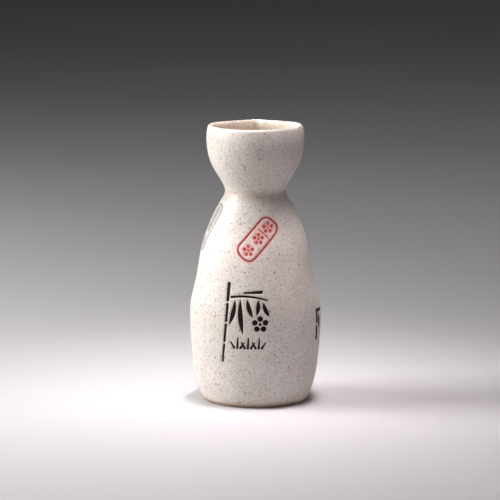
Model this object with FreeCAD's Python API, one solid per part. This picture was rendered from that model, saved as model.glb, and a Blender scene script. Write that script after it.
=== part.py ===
import FreeCAD, Part
import math
import os

# A stoneware sake bottle (tokkuri). A cast belly with two thumb dents carries a cup-shaped mouth,
# luted on at the neck, whose back edge is pinched into a pouring spout. Matt speckled glaze covers
# all but the foot ring. Carved grooves hold black bamboo and a red seal on the front, and more
# bamboo and an uncoloured seal on the sides.
#
# The frame: +Z up, origin at the centre of the circle that the foot stands on, the front with the
# bamboo towards -Y, the spout towards +Y. All lengths are millimetres and all angles are degrees.
# Directions round the bottle are measured from the front, positive towards +X.

# Outside of the glazed bottle: radius and height above the table of each turning place.
foot_line_radius = 30.0
foot_line_height = 1.8
belly_radius = 36.6
belly_height = 44.0
shoulder_radius = 30.2
shoulder_height = 88.5
neck_radius = 16.9
neck_height = 118.0
mouth_radius = 27.3
mouth_height = 148.0
rim_radius = 26.7
rim_height = 155.0

# Clay and glaze.
clay_wall = 3.5
floor_thickness = 4.0
floor_corner = 6.0
lip_thickness = 3.1
glaze = 0.5

# Foot ring, turned from the same clay and left bare.
foot_tread_inset = 1.3
foot_tread_width = 3.4
foot_edge = 0.6
underside_gap = 0.4

# Thumb dents in the sides: direction, depth. They reach the same way up and round.
dents = [(90.0, 2.8), (-90.0, 1.6)]
dent_bottom = 53.5
dent_middle = 70.0
dent_top = 100.0
dent_half_angle = 62.0

# Pouring spout at the back: the rim is pinched straight on both sides of a tip.
spout_half_angle = 58.0
spout_reach = 0.6
spout_root_height = 127.0

# Carved grooves and the coloured glaze that fills them, measured down from the glazed surface.
groove_depth = 0.95
fill_depth = 0.18
motif_reach = 8.0

# Front bamboo, in the plane seen from the front: across, height.
stem_top = (-14.4, 71.5)
stem_foot = (-18.1, 26.5)
stem_top_width = 1.7
stem_foot_width = 1.0
stem_joints = 4
stem_gap = 0.7
branch_root = (-13.2, 63.4)
branch_tip = (6.4, 61.8)
branch_root_width = 1.35
branch_tip_width = 0.8
branch_bow = 1.3

# Leaves hang clear of the branch: across, height, length, lean towards +X, width, bow.
front_leaves = [
    (-11.2, 61.9, 14.5, -14.0, 2.4, -0.7),
    (-8.2, 62.3, 19.5, 4.0, 2.7, 0.8),
    (-4.4, 62.4, 10.5, 17.0, 2.5, 0.7),
    (1.4, 62.0, 8.5, -5.0, 2.3, -0.5),
    (4.4, 60.6, 8.5, 24.0, 2.3, 0.6),
]
sprout_base = (-6.1, 65.9)
sprout_tip = (3.3, 66.4)
sprout_width = 1.7

# Plum blossom under the branch, and grass below it.
blossom_centre = (2.6, 48.6)
blossom_radius = 3.1
petal_radius = 1.55
petals = 5
blossom_eye_radius = 0.85
grass_line = 35.2
grass_tufts = [-10.0, -4.2, 1.8]
grass_blades = [(-1.7, -30.0, 3.9), (0.0, 4.0, 5.4), (1.7, 34.0, 3.7)]
grass_width = 1.3

# Side bamboo on the right, in the plane seen from that side.
side_direction = 90.0
side_stem_top = (-12.3, 53.4)
side_stem_foot = (-12.3, 35.6)
side_stem_width = 2.5
side_stem_joints = 2
side_branch_root = (-10.2, 52.3)
side_branch_tip = (7.2, 51.2)
side_branch_width = 1.9
side_leaves = [
    (-8.6, 50.3, 8.5, 4.0, 3.0, 0.5),
    (-4.4, 50.5, 14.0, -7.0, 2.7, -0.6),
    (-1.2, 50.7, 11.0, 12.0, 2.4, 0.6),
    (3.6, 50.3, 14.5, -8.0, 2.5, -0.6),
    (6.9, 49.5, 9.0, 22.0, 2.2, 0.6),
]

# Two stamped seals: direction, height of the middle, lean towards the right.
seals = {"front": (2.6, 94.5, 42.0), "side": (-79.0, 98.4, 12.0)}
seal_length = 26.4
seal_width = 11.7
seal_corner = 4.6
seal_line = 0.8

# Each seal holds small blossoms and a bar, placed along its length from the middle.
seal_blossom_places = [8.6, 0.6, -7.7]
seal_petal_ring = 2.2
seal_petal_radius = 1.0
seal_eye_radius = 0.75
seal_bar_place = 4.6
seal_bar_length = 6.4
seal_bar_width = 0.8

# Poles round each surface, and how finely its outline is divided for the dents and the spout.
poles_round = 48
outline_divisions = 3

BODY_START = (0.35, 1.0)
STRAIGHT_UP = (0.0, 1.0)


def vector(radius, height):
    return FreeCAD.Vector(radius, 0, height)


def part_way(low, high, radius_share, height_share):
    """The place that lies these shares of the way from low to high."""
    return (
        low[0] + (high[0] - low[0]) * radius_share,
        low[1] + (high[1] - low[1]) * height_share,
    )


foot_line = (foot_line_radius, foot_line_height)
belly = (belly_radius, belly_height)
shoulder = (shoulder_radius, shoulder_height)
neck = (neck_radius, neck_height)
mouth = (mouth_radius, mouth_height)

# The belly's outline climbs from the foot line to the neck, the mouth's from the neck to the rim.
body_outline = [
    foot_line,
    part_way(foot_line, belly, 0.44, 0.21),
    part_way(foot_line, belly, 0.82, 0.58),
    belly,
    part_way(belly, shoulder, 0.06, 0.30),
    part_way(belly, shoulder, 0.41, 0.65),
    shoulder,
    part_way(shoulder, neck, 0.30, 0.34),
    part_way(shoulder, neck, 0.66, 0.69),
    part_way(shoulder, neck, 0.88, 0.86),
    neck,
]
mouth_outline = [
    neck,
    part_way(neck, mouth, 0.14, 0.15),
    part_way(neck, mouth, 0.54, 0.38),
    part_way(neck, mouth, 0.84, 0.61),
    part_way(neck, mouth, 0.97, 0.83),
    mouth,
]


def set_in(outline, depths):
    """An outline moved towards the clay by a depth at each place; its ends keep their height."""
    moved = []
    last = len(outline) - 1
    for index, (radius, height) in enumerate(outline):
        before = outline[max(index - 1, 0)]
        after = outline[min(index + 1, last)]
        along_radius = after[0] - before[0]
        along_height = after[1] - before[1]
        length = math.hypot(along_radius, along_height)
        if index in (0, last):
            moved.append((radius - depths[index], height))
        else:
            moved.append((
                radius - depths[index] * along_height / length,
                height + depths[index] * along_radius / length,
            ))
    return moved


def cosine_bump(distance):
    """1 at no distance, falling smoothly to 0 at a distance of 1 and beyond."""
    return math.cos(math.pi / 2 * min(1.0, abs(distance))) ** 2


def dented(radius, direction, height):
    """The belly's radius with the thumb dents pressed in."""
    if height < dent_middle:
        climb = (dent_middle - height) / (dent_middle - dent_bottom)
    else:
        climb = (height - dent_middle) / (dent_top - dent_middle)
    for dent_direction, depth in dents:
        turn = (direction - dent_direction + 180) % 360 - 180
        radius -= depth * cosine_bump(climb) * cosine_bump(turn / dent_half_angle)
    return radius


def spouted(radius, direction, height):
    """The mouth's radius with the back pinched to straight flanks and a tip."""
    from_tip = math.radians(abs((direction + 360) % 360 - 180))
    half = math.radians(spout_half_angle)
    climb = (height - spout_root_height) / (rim_height - spout_root_height)
    if climb <= 0 or from_tip >= half:
        return radius
    tip = radius + spout_reach
    across = radius * math.sin(half)
    flank = tip * across / (
        across * math.cos(from_tip) + (tip - radius * math.cos(half)) * math.sin(from_tip)
    )
    share = 1 - cosine_bump(climb)
    return radius + (flank - radius) * share


def spun_surface(outline, start, end, shaped):
    """The outline spun round Z as one smooth surface, with its radius changed by shaped."""
    profile = Part.BSplineCurve()
    profile.interpolate(
        Points=[vector(*place) for place in outline],
        InitialTangent=vector(*start).normalize(),
        FinalTangent=vector(*end).normalize(),
        Scale=False,
    )
    knots = profile.getKnots()
    for low, high in zip(knots, knots[1:]):
        for step in range(1, outline_divisions):
            profile.insertKnot(low + (high - low) * step / outline_divisions, 1)
    # A round of cubic poles draws a circle a little inside them.
    swell = 3 / (2 + math.cos(2 * math.pi / poles_round))
    rows = []
    # The seam of the surface runs up the back, where nothing is drawn.
    for place in range(poles_round):
        direction = 180 + 360 * place / poles_round
        across = math.sin(math.radians(direction))
        forward = math.cos(math.radians(direction))
        row = []
        for pole in profile.getPoles():
            radius = shaped(pole.x, direction, pole.z) * swell
            row.append(FreeCAD.Vector(radius * across, -radius * forward, pole.z))
        rows.append(row)
    surface = Part.BSplineSurface()
    surface.buildFromPolesMultsKnots(
        rows,
        [1] * (poles_round + 1),
        profile.getMultiplicities(),
        list(range(poles_round + 1)),
        profile.getKnots(),
        True,
        False,
        3,
        3,
    )
    return surface


def closed_solid(surface, lids):
    """The solid inside a spun surface and the flat lids on its ends."""
    shell = Part.makeShell([surface.toShape()] + lids)
    shell.sewShape()
    solid = Part.makeSolid(shell)
    if solid.Volume < 0:
        solid.reverse()
    return solid


def end_rings(surface):
    """The closed edges at the start and at the end of a spun surface."""
    start, end = surface.bounds()[2:]
    return [Part.Wire([surface.vIso(place).toShape()]) for place in (start, end)]


def form(depth):
    """The belly without its hollow, as it is at this depth under the glazed surface."""
    outline = set_in(body_outline, [depth] * len(body_outline))
    surface = spun_surface(outline, BODY_START, STRAIGHT_UP, dented)
    return closed_solid(surface, [Part.Face(ring) for ring in end_rings(surface)])


def hollow(depth, floor_height, corner):
    """The belly's hollow, with its wall at this depth and a rounded corner at the floor."""
    wall = set_in(body_outline, [depth] * len(body_outline))
    side = [place for place in wall if place[1] > floor_height + 1.5 * corner]
    heel = part_way(wall[1], wall[2], 0.2, 0.2)
    corner_centre = (heel[0] - corner, floor_height + corner)
    outline = [
        (
            corner_centre[0] + corner * math.sin(math.radians(angle)),
            corner_centre[1] - corner * math.cos(math.radians(angle)),
        )
        for angle in (0, 40, 80)
    ]
    surface = spun_surface(outline + side, (1.0, 0.0), STRAIGHT_UP, dented)
    return closed_solid(surface, [Part.Face(ring) for ring in end_rings(surface)])


def over_the_lip(depth):
    """The mouth as a ring of wall, as it is at this depth under the glaze on every side."""
    wall_at_neck = 2 * glaze + clay_wall
    count = len(mouth_outline)
    walls = [
        wall_at_neck + (lip_thickness - wall_at_neck) * index / (count - 1)
        for index in range(count)
    ]
    outside = set_in(mouth_outline, [depth] * count)
    inside = set_in(mouth_outline, [wall - depth for wall in walls])
    lip_half = lip_thickness / 2
    lip = [
        (
            rim_radius - lip_half + (lip_half - depth) * math.cos(math.radians(angle)),
            rim_height - lip_half + (lip_half - depth) * math.sin(math.radians(angle)),
        )
        for angle in (0, 45, 90, 135, 180)
    ]
    outline = outside + lip + inside[::-1]
    surface = spun_surface(outline, STRAIGHT_UP, (0.0, -1.0), spouted)
    joint_face = Part.makeFace(Part.makeCompound(end_rings(surface)), "Part::FaceMakerBullseye")
    return closed_solid(surface, [joint_face])


def foot_ring():
    """The bare ring that the bottle stands on, from the foot line down to its flat tread."""
    outer_top = foot_line_radius - glaze
    tread_outer = outer_top - foot_tread_inset
    tread_inner = tread_outer - foot_tread_width
    corners = [
        (outer_top, foot_line_height),
        (tread_outer + foot_edge, foot_edge),
        (tread_outer, 0.0),
        (tread_inner, 0.0),
        (tread_inner - foot_edge, foot_edge),
        (tread_inner - foot_edge, foot_line_height),
    ]
    outline = Part.makePolygon([vector(*place) for place in corners + corners[:1]])
    return Part.Face(outline).revolve(FreeCAD.Vector(), FreeCAD.Vector(0, 0, 1), 360)


def underside_glaze():
    """The disc of glaze on the belly's underside, inside the foot ring."""
    tread_inner = foot_line_radius - glaze - foot_tread_inset - foot_tread_width
    inside_ring = tread_inner - foot_edge - underside_gap
    bottom = FreeCAD.Vector(0, 0, foot_line_height - glaze)
    return Part.makeCylinder(inside_ring, glaze, bottom)


def at_front(place):
    """A place of a drawing, on a plane in front of the bottle."""
    return FreeCAD.Vector(place[0], -(belly_radius + motif_reach), place[1])


def shifted(place, along, across, heading):
    """A place moved along a heading and across it, the heading measured from straight up."""
    rise = math.cos(math.radians(heading))
    run = math.sin(math.radians(heading))
    return (place[0] + along * run + across * rise, place[1] + along * rise - across * run)


def side_of(start, end, swell, heading):
    """One side of a stroke: straight, or an arc that swells across the heading."""
    if abs(swell) < 0.01:
        return Part.LineSegment(at_front(start), at_front(end)).toShape()
    middle = shifted(part_way(start, end, 0.5, 0.5), 0, swell, heading)
    return Part.Arc(at_front(start), at_front(middle), at_front(end)).toShape()


def heading_of(start, end):
    return math.degrees(math.atan2(end[0] - start[0], end[1] - start[1]))


def stroke(start, end, start_width, end_width, bow=0.0):
    """A brush stroke with round ends, as a flat face."""
    heading = heading_of(start, end)
    start_right = shifted(start, 0, start_width / 2, heading)
    start_left = shifted(start, 0, -start_width / 2, heading)
    end_right = shifted(end, 0, end_width / 2, heading)
    end_left = shifted(end, 0, -end_width / 2, heading)
    end_tip = shifted(end, end_width / 2, 0, heading)
    start_tip = shifted(start, -start_width / 2, 0, heading)
    edges = [
        side_of(start_right, end_right, bow, heading),
        Part.Arc(at_front(end_right), at_front(end_tip), at_front(end_left)).toShape(),
        side_of(end_left, start_left, bow, heading),
        Part.Arc(at_front(start_left), at_front(start_tip), at_front(start_right)).toShape(),
    ]
    return Part.Face(Part.Wire(edges))


def leaf(base, length, lean, width, bow):
    """A bamboo leaf that hangs from its base and ends in a point."""
    heading = 180 - lean
    tip = shifted(base, length, 0, heading)
    edges = [
        side_of(base, tip, bow + width / 2, heading),
        side_of(tip, base, bow - width / 2, heading),
    ]
    return Part.Face(Part.Wire(edges))


def disc(centre, radius):
    """A round dot, from two half circles."""
    left, top, right, bottom = [
        at_front(shifted(centre, radius, 0, heading)) for heading in (-90, 0, 90, 180)
    ]
    halves = [Part.Arc(left, top, right).toShape(), Part.Arc(right, bottom, left).toShape()]
    return Part.Face(Part.Wire(halves))


def stem(top, foot, top_width, foot_width, joints):
    """A bamboo stem of tapered lengths with a gap at each joint."""
    length = math.dist(top, foot)
    heading = heading_of(top, foot)
    pitch = (length + stem_gap) / joints
    faces = []
    for joint in range(joints):
        start = joint * pitch
        end = start + pitch - stem_gap
        start_width = top_width + (foot_width - top_width) * start / length
        end_width = top_width + (foot_width - top_width) * end / length
        faces.append(stroke(
            shifted(top, start + start_width / 2, 0, heading),
            shifted(top, end - end_width / 2, 0, heading),
            start_width,
            end_width,
        ))
    return faces


def ring_of_discs(centre, ring_radius, disc_radius, count):
    """Round petals side by side, the first one at the top."""
    return [
        disc(shifted(centre, ring_radius, 0, 360 * petal / count), disc_radius)
        for petal in range(count)
    ]


def blossom():
    eye = disc(blossom_centre, blossom_eye_radius)
    return ring_of_discs(blossom_centre, blossom_radius, petal_radius, petals) + [eye]


def grass():
    faces = []
    for tuft in grass_tufts:
        for offset, lean, length in grass_blades:
            base = (tuft + offset, grass_line)
            tip = shifted(base, length, 0, lean)
            faces.append(stroke(base, tip, grass_width, grass_width / 2))
    return faces


def rounded_bar(centre, length, width, corner, heading):
    """A rounded rectangle whose long side follows the heading."""
    straight = length / 2 - corner
    flat = width / 2 - corner
    quarter = corner * math.sqrt(0.5)
    edges = []
    corners = [(1, 1), (-1, 1), (-1, -1), (1, -1)]
    ends = []
    for along_sign, across_sign in corners:
        middle = (along_sign * straight, across_sign * flat)
        on_long_side = (middle[0], middle[1] + across_sign * corner)
        on_short_side = (middle[0] + along_sign * corner, middle[1])
        bend = (middle[0] + along_sign * quarter, middle[1] + across_sign * quarter)
        first, last = on_short_side, on_long_side
        if along_sign != across_sign:
            first, last = on_long_side, on_short_side
        ends.append((first, bend, last))
    for index, (first, bend, last) in enumerate(ends):
        following = ends[(index + 1) % len(ends)][0]
        places = [
            at_front(shifted(centre, along, across, heading))
            for along, across in (first, bend, last, following)
        ]
        edges.append(Part.Arc(*places[:3]).toShape())
        edges.append(Part.LineSegment(places[2], places[3]).toShape())
    return Part.Face(Part.Wire(edges))


def seal_faces(height, lean):
    """The line, the ground inside it and the marks of one seal."""
    centre = (0.0, height)
    outer = rounded_bar(centre, seal_length, seal_width, seal_corner, lean)
    inner = rounded_bar(
        centre,
        seal_length - 2 * seal_line,
        seal_width - 2 * seal_line,
        seal_corner - seal_line,
        lean,
    )
    half_bar = seal_bar_length / 2
    marks = [stroke(
        shifted(centre, seal_bar_place, -half_bar, lean),
        shifted(centre, seal_bar_place, half_bar, lean),
        seal_bar_width,
        seal_bar_width,
    )]
    for place in seal_blossom_places:
        middle = shifted(centre, place, 0, lean)
        marks += ring_of_discs(middle, seal_petal_ring, seal_petal_radius, petals)
        marks.append(disc(middle, seal_eye_radius))
    return {"line": [outer.cut(inner)], "ground": [inner], "marks": marks}


def pressed_in(face, direction):
    """A face of a drawing pushed straight through the wall that faces this direction."""
    push = FreeCAD.Vector(0, belly_radius + motif_reach / 2, 0)
    prism = face.extrude(push)
    prism.rotate(FreeCAD.Vector(), FreeCAD.Vector(0, 0, 1), direction)
    return prism


def drawings():
    """Each filled drawing by node name: its faces and the direction that it looks."""
    front_branch = stroke(
        branch_root, branch_tip, branch_root_width, branch_tip_width, -branch_bow
    )
    side_branch = stroke(
        side_branch_root, side_branch_tip, side_branch_width, side_branch_width / 2
    )
    sprout = stroke(sprout_base, sprout_tip, sprout_width / 2, sprout_width)
    front_stem = stem(stem_top, stem_foot, stem_top_width, stem_foot_width, stem_joints)
    side_stem = stem(
        side_stem_top, side_stem_foot, side_stem_width, side_stem_width, side_stem_joints
    )
    drawn = {
        "front_stem_inlay": (front_stem, 0.0),
        "front_branch_inlay": ([front_branch, sprout], 0.0),
        "front_leaf_inlay": ([leaf(place[:2], *place[2:]) for place in front_leaves], 0.0),
        "front_blossom_inlay": (blossom(), 0.0),
        "front_grass_inlay": (grass(), 0.0),
        "side_stem_inlay": (side_stem, side_direction),
        "side_branch_inlay": ([side_branch], side_direction),
        "side_leaf_inlay": (
            [leaf(place[:2], *place[2:]) for place in side_leaves],
            side_direction,
        ),
    }
    for name, (direction, height, lean) in seals.items():
        faces = seal_faces(height, lean)
        for piece in ("line", "marks"):
            drawn[name + "_seal_" + piece] = (faces[piece], direction)
    return drawn


def cut_by_each(shape, tools):
    for tool in tools:
        shape = shape.cut(tool)
    return shape


def build():
    bisque = form(glaze)
    glaze_coat = form(0).cut(bisque)
    uncarved = form(groove_depth)
    filled = form(fill_depth)

    nodes = {}
    through_glaze = []
    punches = []
    for name, (faces, direction) in drawings().items():
        prisms = [pressed_in(face, direction) for face in faces]
        grooves = [prism.cut(uncarved) for prism in prisms]
        nodes[name] = Part.makeCompound([groove.common(filled) for groove in grooves])
        through_glaze += prisms
        punches += grooves
    for name, (direction, height, lean) in seals.items():
        faces = seal_faces(height, lean)
        ground = pressed_in(faces["ground"][0], direction)
        marks = [pressed_in(face, direction) for face in faces["marks"]]
        nodes[name + "_seal_ground"] = cut_by_each(glaze_coat.common(ground), marks)
        through_glaze.append(ground)

    floor_height = foot_line_height + floor_thickness
    body_hollow = hollow(glaze + clay_wall, floor_height, floor_corner)
    air = hollow(2 * glaze + clay_wall, floor_height + glaze, floor_corner - glaze)
    mouth_clay = over_the_lip(glaze)
    nodes.update({
        "body_shell": cut_by_each(bisque.cut(body_hollow), punches),
        "body_glaze": cut_by_each(glaze_coat, through_glaze),
        "body_liner_glaze": body_hollow.cut(air),
        "mouth_bowl": mouth_clay,
        "mouth_glaze": over_the_lip(0).cut(mouth_clay),
        "foot_ring": foot_ring(),
        "underside_glaze": underside_glaze(),
    })
    return nodes


def export(nodes):
    os.makedirs("parts", exist_ok=True)
    for name, shape in nodes.items():
        solids = shape.Solids
        whole = solids[0] if len(solids) == 1 else Part.makeCompound(solids)
        whole.exportStep("parts/" + name + ".step")
        print(name, len(solids), "solids", round(whole.Volume), "mm3", whole.isValid())


export(build())
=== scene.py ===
import math

import bmesh
import bpy
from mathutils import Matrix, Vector
from mathutils.bvhtree import BVHTree


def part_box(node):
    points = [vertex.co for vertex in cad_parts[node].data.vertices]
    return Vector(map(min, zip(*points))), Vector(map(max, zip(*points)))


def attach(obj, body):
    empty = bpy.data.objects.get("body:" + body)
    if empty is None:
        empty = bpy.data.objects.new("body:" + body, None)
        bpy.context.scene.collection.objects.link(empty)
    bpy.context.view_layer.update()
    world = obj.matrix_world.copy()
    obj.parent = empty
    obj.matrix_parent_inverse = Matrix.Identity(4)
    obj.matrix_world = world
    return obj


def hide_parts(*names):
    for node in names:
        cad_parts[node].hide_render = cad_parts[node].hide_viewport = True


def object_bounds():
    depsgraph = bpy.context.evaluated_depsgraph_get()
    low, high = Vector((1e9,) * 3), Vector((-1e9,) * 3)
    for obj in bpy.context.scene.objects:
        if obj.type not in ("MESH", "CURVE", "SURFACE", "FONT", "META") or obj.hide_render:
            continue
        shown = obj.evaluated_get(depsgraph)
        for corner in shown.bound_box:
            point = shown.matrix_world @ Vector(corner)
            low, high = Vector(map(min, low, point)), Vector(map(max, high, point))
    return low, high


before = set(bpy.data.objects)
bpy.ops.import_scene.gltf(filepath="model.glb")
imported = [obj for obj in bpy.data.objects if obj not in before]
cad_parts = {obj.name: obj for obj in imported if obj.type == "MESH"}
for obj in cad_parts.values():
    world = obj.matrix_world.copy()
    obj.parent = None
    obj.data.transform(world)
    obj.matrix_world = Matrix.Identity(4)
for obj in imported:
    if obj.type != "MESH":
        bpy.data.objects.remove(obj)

cad_low, cad_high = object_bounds()

# A stoneware sake bottle: slip-cast clay under a satin-matt speckled glaze, with black bamboo and
# stamped seals pressed into it. Lengths are in metres; MM turns a length in millimetres into one.
MM = 0.001

# The glaze coat's thickness, and how far its ends stop short of the coats that it meets.
GLAZE = 0.5 * MM
GLAZE_END = 0.01 * MM

# Fillings lie this deep under the glaze. Round them it dips to a groove with a soft lip.
FILL_DEPTH = 0.18 * MM
GROOVE_DEPTH = 0.26 * MM
GROOVE_FLAT = 0.06 * MM
GROOVE_LIP = 0.6 * MM

# The bare foot: how far its tread is set in, how wide it is, its worn edges and how round they are.
FOOT_INSET = 1.3 * MM
TREAD_WIDTH = 3.4 * MM
FOOT_EDGE = 0.6 * MM
FOOT_ROUNDING = 0.3 * MM

# Each seal tints the glaze in full up to the first length below, beside its line and marks, and
# fades out at their reach: the front seal with its red stain, the side seal with painted shade.
# The tint of its ground fades over GROUND_FADE at the edge.
STAIN_AND_SHADE_FULL = 0.1 * MM
LINE_STAIN_AND_SHADE_REACH = 1.1 * MM
MARK_STAIN_AND_SHADE_REACH = 0.9 * MM
GROUND_FADE = (0.2 * MM, 0.5 * MM)

# Meshes: faces round a turned piece, rows up the belly, how far outside it the tube starts, the
# margins round a drawing in which the mesh is cut finer, and the CAD corners that count as one.
FACES_ROUND = 144
BELLY_ROWS = 72
TUBE_CLEARANCE = 2 * MM
FINER_NEAR_DRAWINGS = ((2.6 * MM, 1), (1.2 * MM, 2))
WELD = 0.002 * MM

foot_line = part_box("body_glaze")[0].z
foot_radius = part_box("foot_ring")[1].x + GLAZE
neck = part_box("body_glaze")[1].z

BLACK_NODES = [
    "front_stem_inlay", "front_branch_inlay", "front_leaf_inlay", "front_blossom_inlay",
    "front_grass_inlay", "side_stem_inlay", "side_branch_inlay", "side_leaf_inlay",
]
RED_NODES = ["front_seal_line", "front_seal_marks"]
# The side seal's lines and marks, whose fill is painted grey for the shade in their grooves.
SIDE_SEAL_NODES = ["side_seal_line", "side_seal_marks"]
SEAL_GROUNDS = ["front_seal_ground", "side_seal_ground"]
DRAWN_NODES = BLACK_NODES + RED_NODES + SIDE_SEAL_NODES


# ---------------------------------------------------------------- materials


def colour(hex_code):
    """An sRGB hex colour as the linear RGBA that Blender's sockets take."""
    channels = [int(hex_code[place:place + 2], 16) / 255 for place in (1, 3, 5)]
    linear = [
        channel / 12.92 if channel <= 0.04045 else ((channel + 0.055) / 1.055) ** 2.4
        for channel in channels
    ]
    return (*linear, 1.0)


def per_metre(size_mm):
    """The scale at which one cell or wave of a pattern is this many millimetres across."""
    return 1 / (size_mm * MM)


def node(tree, kind, inputs, **settings):
    """Adds a node. inputs gives its sockets, by name or number, a value or what feeds them: an
    output, or a node that feeds its first output in use."""
    made = tree.nodes.new("ShaderNode" + kind)
    for name, value in settings.items():
        setattr(made, name, value)
    for name, value in inputs.items():
        if isinstance(value, bpy.types.Node):
            value = next(output for output in value.outputs if output.enabled)
        if isinstance(value, bpy.types.NodeSocket):
            tree.links.new(value, made.inputs[name])
        else:
            made.inputs[name].default_value = value
    return made


def new_material(name):
    """A material's empty node tree, and the place on the object that its patterns read."""
    material = bpy.data.materials.new(name)
    material.use_nodes = True
    tree = material.node_tree
    tree.nodes.clear()
    return material, tree, node(tree, "TexCoord", {})


def patches(tree, place, size_mm, least, most, detail=2.0, sharpness=0.2):
    """Soft-edged patches of about this size, whose values run from least to most."""
    noise = node(
        tree, "TexNoise", {"Vector": place, "Scale": per_metre(size_mm), "Detail": detail}
    )
    edges = {
        "Value": noise, "To Min": least, "To Max": most,
        "From Min": 0.5 - sharpness, "From Max": 0.5 + sharpness,
    }
    return node(tree, "MapRange", edges, interpolation_type="SMOOTHSTEP")


def specks(tree, place, spacing_mm, share, radius_mm, strength):
    """Specks up to a radius, in a share of the cells of a loose pattern."""
    cells = node(tree, "TexVoronoi", {"Vector": place, "Scale": per_metre(spacing_mm)})
    chance = node(tree, "SeparateColor", {"Color": cells.outputs["Color"]})
    biggest = radius_mm / spacing_mm
    radius = node(
        tree, "MapRange", {"Value": chance, "From Min": 1 - share, "To Max": biggest},
        interpolation_type="SMOOTHSTEP",
    )
    inside = node(
        tree, "Math", {0: radius, 1: cells.outputs["Distance"]}, operation="SUBTRACT"
    )
    return node(
        tree, "MapRange", {"Value": inside, "From Max": biggest / 3, "To Max": strength},
        interpolation_type="SMOOTHSTEP",
    )


def laid_over(tree, base, layers):
    """The base colour under layers of other colours, each with the share that shows. Sockets 6
    and 7 of a Mix node are its two colours."""
    ground = colour(base)
    for share, tint in layers:
        ground = node(
            tree, "Mix", {"Factor": share, 6: ground, 7: colour(tint)}, data_type="RGBA"
        )
    return ground


def surface(material, tree, ground, roughness, shine, grains):
    """The shader and its bumps. shine is 0.5 for bare glaze and less where a skin is open and
    dusty. grains are pairs of a pattern and its height in millimetres."""
    settings = {
        "Base Color": ground, "Roughness": roughness, "IOR": 1.5, "Specular IOR Level": shine,
    }
    for pattern, height_mm in grains:
        bump = {"Height": pattern, "Distance": height_mm * MM, "Strength": 0.5}
        if "Normal" in settings:
            bump["Normal"] = settings["Normal"]
        settings["Normal"] = node(tree, "Bump", bump)
    shader = node(tree, "BsdfPrincipled", settings)
    node(tree, "OutputMaterial", {"Surface": shader})
    return material


def facing_the_axis(tree, coordinates, strength):
    """1 times strength on a surface that faces the bottle's axis, and 0 on one that faces out."""
    level = node(
        tree, "VectorMath", {0: coordinates.outputs["Object"], 1: (1, 1, 0)},
        operation="MULTIPLY",
    )
    outward = node(tree, "VectorMath", {0: level}, operation="NORMALIZE")
    facing = node(
        tree, "VectorMath", {0: outward, 1: coordinates.outputs["Normal"]},
        operation="DOT_PRODUCT",
    )
    turned = {"Value": facing, "From Min": -0.5, "From Max": 0.2, "To Min": strength, "To Max": 0}
    return node(tree, "MapRange", turned, interpolation_type="SMOOTHSTEP")


def band(tree, height, rises, falls, strength):
    """A soft band between heights: rises and falls are pairs of heights in metres."""
    rise = node(
        tree, "MapRange", {"Value": height, "From Min": rises[0], "From Max": rises[1]},
        interpolation_type="SMOOTHSTEP",
    )
    fall = node(
        tree, "MapRange",
        {"Value": height, "From Min": falls[0], "From Max": falls[1], "To Min": strength, "To Max": 0},
        interpolation_type="SMOOTHSTEP",
    )
    return node(tree, "Math", {0: rise, 1: fall}, operation="MULTIPLY")


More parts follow.
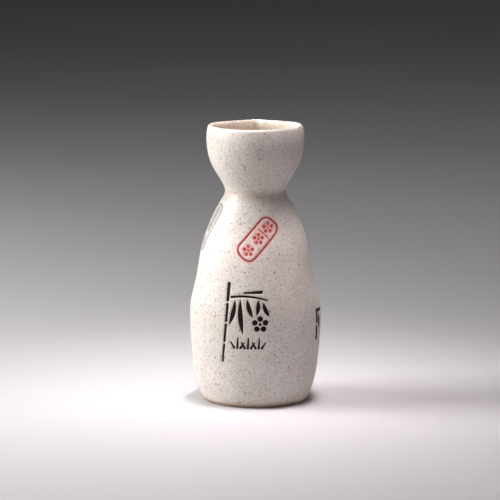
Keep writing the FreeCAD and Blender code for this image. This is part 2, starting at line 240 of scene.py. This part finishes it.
def stoneware_glaze(name, base, thick, thin):
    """Satin-matt stoneware glaze, dipped over iron-bearing clay and fired in reduction. The iron
    bleeds up as brown and grey specks. The coat is whiter where it lies thick, warmer where it is
    thin, tan where it breaks at the foot, and its skin is faintly dimpled. Painted shade darkens it
    to brown under the bowl in the neck and greys it round the side seal's line. Painted light
    makes it paler on the walls that face the axis, inside the mouth. The finest real specks, 0.1
    to 0.2 mm, are drawn at 0.3 mm so that they show."""
    material, tree, coordinates = new_material(name)
    place = coordinates.outputs["Object"]
    wobble = node(tree, "TexNoise", {"Vector": place, "Scale": per_metre(0.9), "Detail": 1.0})
    frayed = node(
        tree, "VectorMath", {0: wobble.outputs["Color"], 1: (0.45 * MM,) * 3, 2: place},
        operation="MULTIPLY_ADD",
    )
    height = node(tree, "SeparateXYZ", {"Vector": place}).outputs["Z"]
    ragged = patches(tree, place, 4, -1.4 * MM, 1.4 * MM, detail=3.0, sharpness=0.25)
    ragged = node(tree, "Math", {0: height, 1: ragged}, operation="ADD")
    under_the_foot = (-2 * MM, -1 * MM)
    over_the_foot_line = (foot_line - 0.6 * MM, foot_line + 2.4 * MM)
    tan = band(tree, ragged, under_the_foot, over_the_foot_line, 0.6)
    # Painted shade: a brown band darkens the glaze under the bowl, round the neck crease where the
    # bowl's shade falls.
    under_the_neck = (neck - 8 * MM, neck - 1.5 * MM)
    over_the_neck = (neck, neck + 3 * MM)
    painted_shade = band(tree, height, under_the_neck, over_the_neck, 0.45)
    painted_shade = node(
        tree, "Math", {0: painted_shade, 1: patches(tree, place, 15, 0.3, 1.0)}, operation="MULTIPLY"
    )
    # Painted light: the walls that face the axis, inside the mouth, are painted paler than the
    # outside.
    inside = node(
        tree, "Math",
        {0: facing_the_axis(tree, coordinates, 0.75), 1: patches(tree, place, 11, 0.65, 1.0)},
        operation="MULTIPLY",
    )
    crowded = node(
        tree, "Math",
        {0: specks(tree, frayed, 0.72, 1.0, 0.36, 0.65), 1: patches(tree, place, 13, 0.35, 1.0)},
        operation="MULTIPLY",
    )
    ground = laid_over(tree, base, (
        (patches(tree, place, 22, 0.0, 1.0, detail=3.0), thick),
        (patches(tree, place, 9, 0.0, 0.5), thin),
        (tan, "#c29d78"),
        # painted shade under the bowl, round the neck
        (painted_shade, "#a98f6e"),
        # painted light on the walls inside the mouth
        (inside, "#f6ead9"),
        (patches(tree, place, 1.7, 0.0, 0.3, detail=3.0), "#b9b0a6"),
        (crowded, "#8e8275"),
        (specks(tree, frayed, 1.2, 1.0, 0.48, 0.64), "#78695b"),
        (specks(tree, frayed, 2.7, 0.75, 0.95, 0.3), "#a68f78"),
        (specks(tree, frayed, 2.7, 0.75, 0.6, 0.6), "#56463a"),
        (node(tree, "Attribute", {}, attribute_name="red_stain").outputs["Fac"], "#e58f84"),
        # painted shade round the side seal's line and on its ground
        (node(tree, "Attribute", {}, attribute_name="side_seal_painted_shade").outputs["Fac"], "#a9a6a5"),
    ))
    dimples = node(tree, "TexNoise", {"Vector": place, "Scale": per_metre(1.1)})
    slow_waves = node(tree, "TexNoise", {"Vector": place, "Scale": per_metre(14), "Detail": 1.0})
    roughness = patches(tree, place, 3, 0.4, 0.52, detail=3.0)
    return surface(
        material, tree, ground, roughness, 0.5, ((dimples, 0.021), (slow_waves, 0.35))
    )


def underglaze_colour(name, base, worn, roughness, shine):
    """Oxide colour brushed into a carved line and fired: it lies matt and dense in the middle
    of a stroke, with grains of frit in it, and is paler where the brush ran dry."""
    material, tree, coordinates = new_material(name)
    place = coordinates.outputs["Object"]
    ground = laid_over(tree, base, (
        (patches(tree, place, 1.3, 0.0, 0.8, detail=3.0, sharpness=0.15), worn),
        (specks(tree, place, 0.7, 0.5, 0.3, 0.4), worn),
    ))
    grain = node(tree, "TexNoise", {"Vector": place, "Scale": per_metre(0.5)})
    return surface(material, tree, ground, roughness, shine, ((grain, 0.05),))


def bare_stoneware():
    """Unglazed stoneware, trimmed on the wheel and sponged before firing: matt and sandy, toasted
    in patches, with iron specks. The real grit of 0.1 mm is drawn at 0.35 mm so that it shows."""
    material, tree, coordinates = new_material("bare_stoneware")
    place = coordinates.outputs["Object"]
    ground = laid_over(tree, "#b9a893", (
        (patches(tree, place, 6, 0.0, 1.0, detail=4.0), "#a8937c"),
        (specks(tree, place, 0.9, 0.6, 0.3, 0.8), "#6b5444"),
    ))
    grit = node(tree, "TexNoise", {"Vector": place, "Scale": per_metre(0.35), "Detail": 3.0})
    trimming = node(
        tree, "TexWave",
        {"Vector": place, "Scale": per_metre(1.6) / 20, "Distortion": 0.6, "Detail Scale": 2.0},
        wave_type="RINGS", rings_direction="Z",
    )
    return surface(material, tree, ground, 0.88, 0.3, ((grit, 0.08), (trimming, 0.06)))


def floor_paper():
    """A sheet of pale studio paper, smooth and dull."""
    material, tree, coordinates = new_material("studio_paper")
    place = coordinates.outputs["Object"]
    ground = laid_over(tree, "#c3c1c2", ((patches(tree, place, 400, 0.0, 1.0), "#bebcbd"),))
    return surface(material, tree, ground, 0.95, 0.2, ())


# ------------------------------------------------------------------ modelling


def put_on(piece, material):
    piece.data.materials.clear()
    piece.data.materials.append(material)


def deselect_all():
    for piece in bpy.context.selected_objects:
        piece.select_set(False)


def make_active(piece):
    deselect_all()
    piece.select_set(True)
    bpy.context.view_layer.objects.active = piece


def apply_modifier(piece, kind, **settings):
    make_active(piece)
    modifier = piece.modifiers.new(kind.lower(), kind)
    for name, value in settings.items():
        setattr(modifier, name, value)
    bpy.ops.object.modifier_apply(modifier=modifier.name)


def select_parts(piece, kind, wanted):
    """In edit mode, selects the edges or faces that wanted accepts."""
    bpy.ops.mesh.select_mode(type="EDGE" if kind == "edges" else "FACE")
    bpy.ops.mesh.select_all(action="DESELECT")
    mesh = bmesh.from_edit_mesh(piece.data)
    for part in getattr(mesh, kind):
        part.select = wanted(part)
    mesh.select_flush_mode()
    bmesh.update_edit_mesh(piece.data)


def joined_copy(names, name):
    """Copies of CAD nodes joined into one mesh, with their loose triangles merged."""
    copies = []
    for node_name in names:
        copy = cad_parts[node_name].copy()
        copy.data = copy.data.copy()
        bpy.context.scene.collection.objects.link(copy)
        copies.append(copy)
    make_active(copies[0])
    for copy in copies:
        copy.parent = None
        copy.select_set(True)
    bpy.ops.object.join()
    joined = bpy.context.active_object
    joined.name = name
    bpy.ops.object.mode_set(mode="EDIT")
    bpy.ops.mesh.select_all(action="SELECT")
    bpy.ops.mesh.remove_doubles(threshold=WELD)
    bpy.ops.object.mode_set(mode="OBJECT")
    return joined


def nearest_on(names):
    """A finder of the nearest point on these CAD nodes."""
    points = []
    faces = []
    for name in names:
        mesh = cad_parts[name].data
        first = len(points)
        points += [vertex.co.copy() for vertex in mesh.vertices]
        faces += [[first + place for place in face.vertices] for face in mesh.polygons]
    return BVHTree.FromPolygons(points, faces)


def distance_beside(fillings, place):
    """How far a place on the glaze lies beside the nearest filling: 0 above the filling."""
    distance = fillings.find_nearest(place)[3]
    return math.sqrt(max(0.0, distance ** 2 - FILL_DEPTH ** 2))


def soft_fall(value, full, none):
    """1 up to full and 0 from none on, with a smooth fall between."""
    share = min(1.0, max(0.0, (none - value) / (none - full)))
    return share * share * (3 - 2 * share)


def set_weights(piece, group_name, weight_of):
    group = piece.vertex_groups.new(name=group_name)
    for vertex in piece.data.vertices:
        group.add([vertex.index], weight_of(vertex.co), "REPLACE")


def tint_round(piece, attribute_name, seal, outside, inside, ground_share):
    """Stores how much each vertex is tinted by a seal: beside its line on the outside and on the
    inside, beside its marks, and on the rest of its ground."""
    line = nearest_on([seal + "_line"])
    marks = nearest_on([seal + "_marks"])
    ground = nearest_on([seal + "_ground"])
    tint = piece.data.attributes.new(attribute_name, "FLOAT", "POINT")
    for vertex in piece.data.vertices:
        within = soft_fall(ground.find_nearest(vertex.co)[3], *GROUND_FADE)
        by_line = soft_fall(distance_beside(line, vertex.co), STAIN_AND_SHADE_FULL, LINE_STAIN_AND_SHADE_REACH)
        by_marks = soft_fall(distance_beside(marks, vertex.co), STAIN_AND_SHADE_FULL, MARK_STAIN_AND_SHADE_REACH)
        tint.data[vertex.index].value = max(
            by_line * (outside + (inside - outside) * within), by_marks * inside, ground_share * within
        )


def tube_of_quads(name, columns, rows, radius, low, high):
    """An open tube with even rows and columns, from a cylinder without ends."""
    deselect_all()
    bpy.ops.mesh.primitive_cylinder_add(
        vertices=columns, radius=radius, depth=high - low, end_fill_type="NOTHING",
        location=(0, 0, (low + high) / 2),
    )
    tube = bpy.context.active_object
    tube.name = name
    bpy.ops.object.transform_apply(location=True, rotation=True, scale=True)
    bpy.ops.object.mode_set(mode="EDIT")
    select_parts(tube, "edges", lambda edge: edge.verts[0].co.z != edge.verts[1].co.z)
    bpy.ops.mesh.subdivide(number_cuts=rows - 1)
    bpy.ops.object.mode_set(mode="OBJECT")
    return tube


def near_drawings(margin):
    """A test for outward faces that lie within a margin of a drawing's box."""
    grow = Vector((margin, margin, margin))
    boxes = [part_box(name) for name in DRAWN_NODES]
    boxes = [(low - grow, high + grow) for low, high in boxes]

    def accepts(face):
        place = face.calc_center_median()
        outward = face.normal.x * place.x + face.normal.y * place.y > 0
        return outward and any(
            all(low[axis] < place[axis] < high[axis] for axis in range(3)) for low, high in boxes
        )

    return accepts


def build_belly_glaze():
    """The glaze coat of the belly, with soft-lipped grooves round every drawing and a rounded
    edge where it stops above the bare foot."""
    low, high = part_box("body_glaze")
    belly = tube_of_quads(
        "belly_glaze", FACES_ROUND, BELLY_ROWS, high.x + TUBE_CLEARANCE,
        low.z + GLAZE_END, high.z - GLAZE_END,
    )
    form = joined_copy(["body_glaze"] + SEAL_GROUNDS + DRAWN_NODES, "form")
    apply_modifier(
        belly, "SHRINKWRAP", target=form, wrap_method="PROJECT",
        use_negative_direction=True, use_positive_direction=False,
    )
    bpy.data.objects.remove(form)

    fillings = nearest_on(DRAWN_NODES)
    set_weights(
        belly, "over_filling",
        lambda place: max(0.0, 1 - fillings.find_nearest(place)[3] / FILL_DEPTH),
    )
    apply_modifier(
        belly, "DISPLACE", strength=FILL_DEPTH, mid_level=0, vertex_group="over_filling"
    )
    apply_modifier(belly, "SOLIDIFY", thickness=GLAZE, offset=-1)

    bpy.ops.object.mode_set(mode="EDIT")
    for margin, cuts in FINER_NEAR_DRAWINGS:
        select_parts(belly, "faces", near_drawings(margin))
        bpy.ops.mesh.subdivide(number_cuts=cuts, smoothness=1.0)
    select_parts(belly, "edges", lambda edge: (
        all(vertex.co.z < low.z + 2 * GLAZE_END for vertex in edge.verts)
        and all(vertex.co.xy.length > foot_radius - GLAZE / 2 for vertex in edge.verts)
    ))
    bpy.ops.mesh.bevel(offset=0.45 * GLAZE, segments=4, affect="EDGES")
    bpy.ops.object.mode_set(mode="OBJECT")

    clay = nearest_on(["body_shell"])

    def groove(place):
        if clay.find_nearest(place)[3] < GLAZE / 2:
            return 0.0
        return soft_fall(distance_beside(fillings, place), GROOVE_FLAT, GROOVE_FLAT + GROOVE_LIP)

    set_weights(belly, "groove", groove)
    apply_modifier(belly, "DISPLACE", strength=-GROOVE_DEPTH, mid_level=0, vertex_group="groove")
    apply_modifier(belly, "SMOOTH", factor=0.5, iterations=2, vertex_group="groove")
    tint_round(belly, "red_stain", "front_seal", outside=0.85, inside=0.5, ground_share=0.2)
    # Painted shade: greys the glaze beside the side seal's line and on its ground, where its stamped
    # facet and grooves lie in shade.
    tint_round(belly, "side_seal_painted_shade", "side_seal", outside=0.5, inside=0.8, ground_share=0.5)

    make_active(belly)
    bpy.ops.object.shade_smooth_by_angle(angle=math.radians(50))
    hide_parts("body_glaze", *SEAL_GROUNDS)
    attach(belly, "root")
    return belly


def build_turned_foot():
    """The trimmed foot: a ring drawn round from its glazed edge, under its tread and up inside,
    with its corners sponged soft."""
    low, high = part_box("foot_ring")
    tread_outer = high.x - FOOT_INSET
    tread_inner = tread_outer - TREAD_WIDTH
    outline = [
        (high.x, high.z),
        (tread_outer + FOOT_EDGE, low.z + FOOT_EDGE),
        (tread_outer, low.z),
        (tread_inner, low.z),
        (tread_inner - FOOT_EDGE, low.z + FOOT_EDGE),
        (tread_inner - FOOT_EDGE, high.z),
    ]
    deselect_all()
    radius, height = outline[0]
    bpy.ops.mesh.primitive_circle_add(
        vertices=FACES_ROUND, radius=radius, location=(0, 0, height)
    )
    foot = bpy.context.active_object
    foot.name = "turned_foot"
    bpy.ops.object.transform_apply(location=True, rotation=True, scale=True)
    bpy.ops.object.mode_set(mode="EDIT")
    bpy.ops.mesh.select_all(action="SELECT")
    for next_radius, next_height in outline[1:]:
        drop = {"value": (0, 0, next_height - height)}
        bpy.ops.mesh.extrude_region_move(TRANSFORM_OT_translate=drop)
        narrowing = next_radius / radius
        bpy.ops.transform.resize(value=(narrowing, narrowing, 1), center_override=(0, 0, 0))
        radius, height = next_radius, next_height
    bpy.ops.mesh.select_mode(type="EDGE")
    bpy.ops.mesh.select_all(action="DESELECT")
    bpy.ops.mesh.select_non_manifold()
    bpy.ops.mesh.bridge_edge_loops()
    bpy.ops.mesh.select_all(action="SELECT")
    bpy.ops.mesh.normals_make_consistent(inside=False)
    bpy.ops.object.mode_set(mode="OBJECT")
    apply_modifier(
        foot, "BEVEL", width=FOOT_ROUNDING, segments=3, limit_method="ANGLE",
        angle_limit=math.radians(25),
    )
    make_active(foot)
    bpy.ops.object.shade_smooth_by_angle(angle=math.radians(35))
    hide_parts("foot_ring")
    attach(foot, "root")
    return foot


glaze = stoneware_glaze("satin_matt_stoneware_glaze", "#d9d3cb", "#e2ddd6", "#d6ccc1")
lining = stoneware_glaze("thin_lining_glaze", "#d5c5b0", "#dccdb9", "#c9b094")
ink = underglaze_colour("black_iron_underglaze", "#0e0603", "#21150e", 0.7, 0.2)
red = underglaze_colour("red_iron_underglaze", "#ab2a2e", "#d38482", 0.45, 0.4)
deep_red = underglaze_colour("deep_red_underglaze", "#7e2a2a", "#a15450", 0.45, 0.4)
# Painted shade: the pale glaze in the side seal's lines and marks is painted grey for the shade in
# their grooves.
painted_shade = underglaze_colour("pale_glaze_painted_shade", "#8f8c8a", "#aaa6a2", 0.35, 0.5)
bare = bare_stoneware()

finishes = dict.fromkeys(BLACK_NODES, ink)
finishes["front_seal_marks"] = red
finishes["front_seal_line"] = deep_red
finishes.update(dict.fromkeys(SIDE_SEAL_NODES, painted_shade))
finishes.update(dict.fromkeys(["body_shell", "mouth_bowl", "foot_ring"], bare))
finishes["body_liner_glaze"] = lining
for piece_name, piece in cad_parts.items():
    put_on(piece, finishes.get(piece_name, glaze))

put_on(build_belly_glaze(), glaze)
put_on(build_turned_foot(), bare)


# ------------------------------------------------------- floor, light, camera

FLOOR_SIZE = 14
VIEW_DISTANCE = 1.9
VIEW_ELEVATION = math.radians(9.1)
VIEW_WIDTH = 0.2798
VIEW_CENTRE = Vector((-3.0 * MM, 0.0, 84.4 * MM))


def build_floor():
    deselect_all()
    bpy.ops.mesh.primitive_plane_add(size=FLOOR_SIZE, location=(0, 0, 0))
    floor = bpy.context.active_object
    floor.name = "floor"
    put_on(floor, floor_paper())


def area_light(name, place, aim, size, power, tint="#ffffff", spread=180):
    """A soft rectangular light. A spread under a half turn is a grid over the softbox that keeps
    its light to a pool round the bottle."""
    data = bpy.data.lights.new(name, "AREA")
    data.shape = "RECTANGLE"
    data.size, data.size_y = size
    data.energy = power
    data.color = colour(tint)[:3]
    data.spread = math.radians(spread)
    light = bpy.data.objects.new(name, data)
    light.location = place
    light.visible_camera = False
    light.rotation_euler = (aim - Vector(place)).to_track_quat("-Z", "Y").to_euler()
    bpy.context.scene.collection.objects.link(light)


def build_lights():
    middle = Vector((0, 0, cad_high.z / 2))
    mouth = Vector((0, 0, cad_high.z))
    table_in_front = Vector((-0.03, -0.10, 0))
    area_light(
        "key_softbox", place=(-0.9, -0.02, 0.58), aim=middle, size=(0.55, 0.75), power=16.8
    )
    area_light(
        "top_softbox", place=(0.05, -0.25, 1.1), aim=table_in_front, size=(0.5, 0.5),
        power=0.38, tint="#fff6f9", spread=36,
    )
    area_light(
        "fill_card", place=(0.65, -0.8, 0.6), aim=middle, size=(1.0, 0.9), power=1.7,
        tint="#ffedf6",
    )
    area_light(
        "mouth_softbox", place=(0.05, -0.03, 1.1), aim=mouth, size=(0.25, 0.25), power=0.2,
        tint="#fff6f9", spread=20,
    )
    world = bpy.data.worlds.new("studio")
    world.use_nodes = True
    background = world.node_tree.nodes["Background"]
    background.inputs["Color"].default_value = colour("#eceaf0")
    background.inputs["Strength"].default_value = 0.05
    bpy.context.scene.world = world


def build_camera():
    data = bpy.data.cameras.new("camera")
    data.sensor_width = 36
    data.lens = data.sensor_width * VIEW_DISTANCE / VIEW_WIDTH
    camera = bpy.data.objects.new("camera", data)
    back = Vector((0, -math.cos(VIEW_ELEVATION), math.sin(VIEW_ELEVATION)))
    camera.location = VIEW_CENTRE + back * VIEW_DISTANCE
    camera.rotation_euler = (-back).to_track_quat("-Z", "Y").to_euler()
    bpy.context.scene.collection.objects.link(camera)
    bpy.context.scene.camera = camera


build_floor()
build_lights()
build_camera()
bpy.context.scene.view_settings.view_transform = "Standard"
